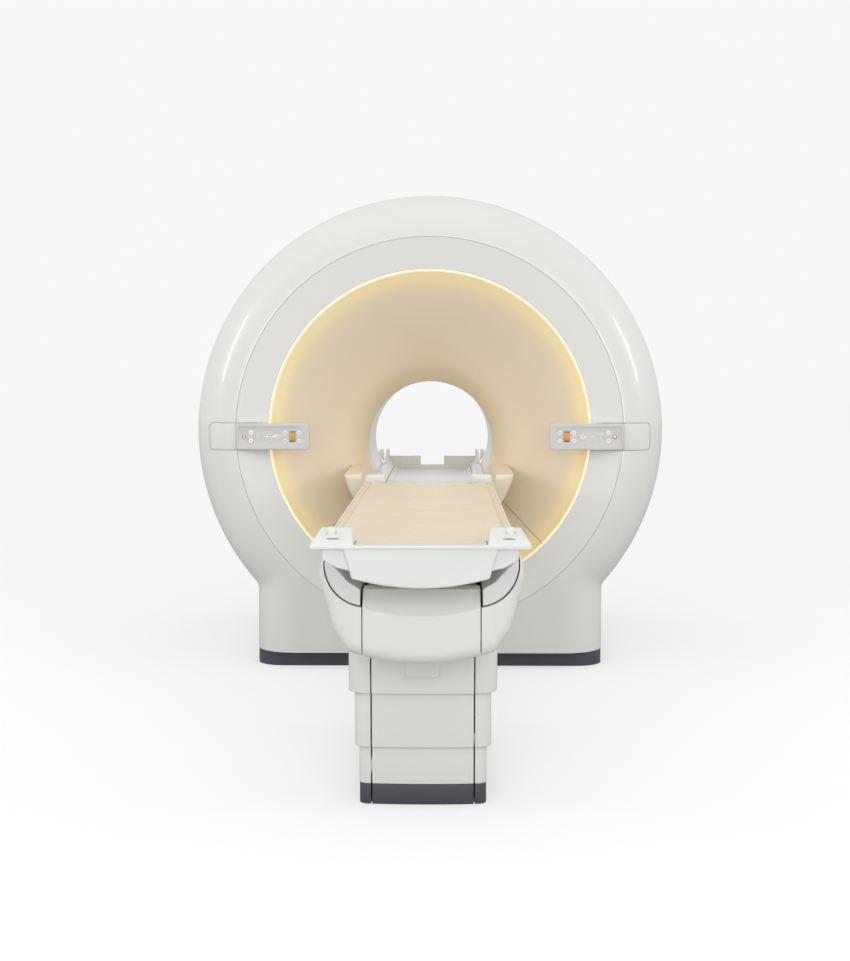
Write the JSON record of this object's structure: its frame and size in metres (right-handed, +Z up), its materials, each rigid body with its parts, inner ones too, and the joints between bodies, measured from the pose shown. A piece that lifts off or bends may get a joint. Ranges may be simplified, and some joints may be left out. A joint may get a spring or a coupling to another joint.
{
  "type": "closed-bore mri scanner with patient table",
  "caption": "Closed-bore magnetic resonance scanner: ring-shaped gantry with a lit trumpet opening, side control panels and a patient table that lifts and slides in.",
  "frame": {"origin": "on the floor at the centre of the whole footprint", "axes": "+Z up, +Y from the foot end of the table towards the rear of the gantry, X across the table"},
  "size_m": [2.164, 4.5, 2.168],
  "materials": {
    "cover_white": "satin gloss paint on moulded cover",
    "trim_white": "fine matt texture",
    "light_diffuser": "translucent, lit from behind",
    "flare_beige": "satin moulded",
    "liner_grey": "satin moulded",
    "plinth_dark": "satin",
    "panel_grey": "satin",
    "key_white": "satin",
    "stop_red": "satin",
    "wheel_orange": "ribbed satin",
    "table_white": "satin",
    "arm_white": "satin",
    "deck_laminate": "satin laminate",
    "mattress_cream": "wipe-clean coated fabric",
    "frame_aluminium": "mill finish",
    "mast_steel": "ground",
    "vessel_steel": "brushed",
    "coil_winding": "wound",
    "coil_resin": "cast resin"
  },
  "bodies": {
    "root": {"front_cover": "cover_white", "side_cover_left": "cover_white", "side_cover_right": "cover_white", "rear_cover": "cover_white", "gantry_skirt": "plinth_dark", "trim_ring": "trim_white", "light_ring": "light_diffuser", "front_flare": "flare_beige", "lower_flare_panel": "flare_beige", "bore_tunnel": "liner_grey", "rear_flare": "flare_beige", "bridge_housing": "flare_beige", "bridge_trough": "liner_grey", "vacuum_vessel": "vessel_steel", "magnet_coils": "coil_winding", "gradient_coil": "coil_resin", "body_coil": "coil_resin", "cold_head": "mast_steel", "panel_left": "panel_grey", "panel_right": "panel_grey", "floor_plate": "mast_steel", "table_skirt_front": "plinth_dark", "table_skirt_wrap": "plinth_dark", "column_lower_front": "table_white", "column_lower_wrap": "table_white", "lift_mast_outer": "mast_steel"},
    "column_middle": {"column_middle_front": "table_white", "column_middle_wrap": "table_white", "lift_mast_middle": "mast_steel"},
    "carriage": {"column_upper_front": "table_white", "column_upper_wrap": "table_white", "lift_mast_inner": "mast_steel", "carriage_frame": "frame_aluminium", "carriage_front_panel": "table_white", "carriage_side_left": "table_white", "carriage_side_right": "table_white", "carriage_arm_left": "arm_white", "carriage_arm_right": "arm_white"},
    "tabletop": {"tabletop": "deck_laminate", "footboard": "arm_white", "mattress": "mattress_cream", "head_end_sockets": "arm_white"},
    "button_left_1": {"button_left_1": "key_white"},
    "button_left_2": {"button_left_2": "key_white"},
    "button_left_3": {"button_left_3": "key_white"},
    "button_left_4": {"button_left_4": "key_white"},
    "button_left_5": {"button_left_5": "key_white"},
    "button_left_6": {"button_left_6": "key_white"},
    "stop_button_left": {"stop_button_left": "stop_red"},
    "thumbwheel_left": {"thumbwheel_left": "wheel_orange"},
    "knob_left": {"knob_left": "arm_white"},
    "button_right_1": {"button_right_1": "key_white"},
    "button_right_2": {"button_right_2": "key_white"},
    "button_right_3": {"button_right_3": "key_white"},
    "button_right_4": {"button_right_4": "key_white"},
    "button_right_5": {"button_right_5": "key_white"},
    "button_right_6": {"button_right_6": "key_white"},
    "stop_button_right": {"stop_button_right": "stop_red"},
    "thumbwheel_right": {"thumbwheel_right": "wheel_orange"},
    "knob_right": {"knob_right": "arm_white"}
  },
  "joints": [
    {"name": "table_lift", "type": "slide", "parent": "root", "child": "carriage", "axis": [0, 0, 1], "range_m": [-0.28, 0]},
    {"name": "column_middle_slide", "type": "slide", "parent": "root", "child": "column_middle", "axis": [0, 0, 1], "range_m": [-0.112, 0]},
    {"name": "tabletop_slide", "type": "slide", "parent": "carriage", "child": "tabletop", "axis": [0, 1, 0], "range_m": [0, 1.6]},
    {"name": "button_left_1_press", "type": "slide", "parent": "root", "child": "button_left_1", "axis": [0, 1, 0], "range_m": [0, 0.002], "stiffness_N_per_m": 800},
    {"name": "button_left_2_press", "type": "slide", "parent": "root", "child": "button_left_2", "axis": [0, 1, 0], "range_m": [0, 0.002], "stiffness_N_per_m": 800},
    {"name": "button_left_3_press", "type": "slide", "parent": "root", "child": "button_left_3", "axis": [0, 1, 0], "range_m": [0, 0.002], "stiffness_N_per_m": 800},
    {"name": "button_left_4_press", "type": "slide", "parent": "root", "child": "button_left_4", "axis": [0, 1, 0], "range_m": [0, 0.002], "stiffness_N_per_m": 800},
    {"name": "button_left_5_press", "type": "slide", "parent": "root", "child": "button_left_5", "axis": [0, 1, 0], "range_m": [0, 0.002], "stiffness_N_per_m": 800},
    {"name": "button_left_6_press", "type": "slide", "parent": "root", "child": "button_left_6", "axis": [0, 1, 0], "range_m": [0, 0.002], "stiffness_N_per_m": 800},
    {"name": "stop_button_left_press", "type": "slide", "parent": "root", "child": "stop_button_left", "axis": [0, 1, 0], "range_m": [0, 0.002], "stiffness_N_per_m": 800},
    {"name": "thumbwheel_left_turn", "type": "hinge", "parent": "root", "child": "thumbwheel_left", "pos_m": [-0.624, 0.458, 1.063], "axis": [1, 0, 0], "range_deg": [-20, 20], "stiffness_Nm_per_rad": 0.2},
    {"name": "knob_left_press", "type": "slide", "parent": "tabletop", "child": "knob_left", "axis": [0, 0, -1], "range_m": [0, 0.006], "stiffness_N_per_m": 600},
    {"name": "button_right_1_press", "type": "slide", "parent": "root", "child": "button_right_1", "axis": [0, 1, 0], "range_m": [0, 0.002], "stiffness_N_per_m": 800},
    {"name": "button_right_2_press", "type": "slide", "parent": "root", "child": "button_right_2", "axis": [0, 1, 0], "range_m": [0, 0.002], "stiffness_N_per_m": 800},
    {"name": "button_right_3_press", "type": "slide", "parent": "root", "child": "button_right_3", "axis": [0, 1, 0], "range_m": [0, 0.002], "stiffness_N_per_m": 800},
    {"name": "button_right_4_press", "type": "slide", "parent": "root", "child": "button_right_4", "axis": [0, 1, 0], "range_m": [0, 0.002], "stiffness_N_per_m": 800},
    {"name": "button_right_5_press", "type": "slide", "parent": "root", "child": "button_right_5", "axis": [0, 1, 0], "range_m": [0, 0.002], "stiffness_N_per_m": 800},
    {"name": "button_right_6_press", "type": "slide", "parent": "root", "child": "button_right_6", "axis": [0, 1, 0], "range_m": [0, 0.002], "stiffness_N_per_m": 800},
    {"name": "stop_button_right_press", "type": "slide", "parent": "root", "child": "stop_button_right", "axis": [0, 1, 0], "range_m": [0, 0.002], "stiffness_N_per_m": 800},
    {"name": "thumbwheel_right_turn", "type": "hinge", "parent": "root", "child": "thumbwheel_right", "pos_m": [0.624, 0.458, 1.063], "axis": [1, 0, 0], "range_deg": [-20, 20], "stiffness_Nm_per_rad": 0.2},
    {"name": "knob_right_press", "type": "slide", "parent": "tabletop", "child": "knob_right", "axis": [0, 0, -1], "range_m": [0, 0.006], "stiffness_N_per_m": 600}
  ],
  "couplings": [
    {"joint": "column_middle_slide", "follows": "table_lift", "ratio": 0.4}
  ]
}
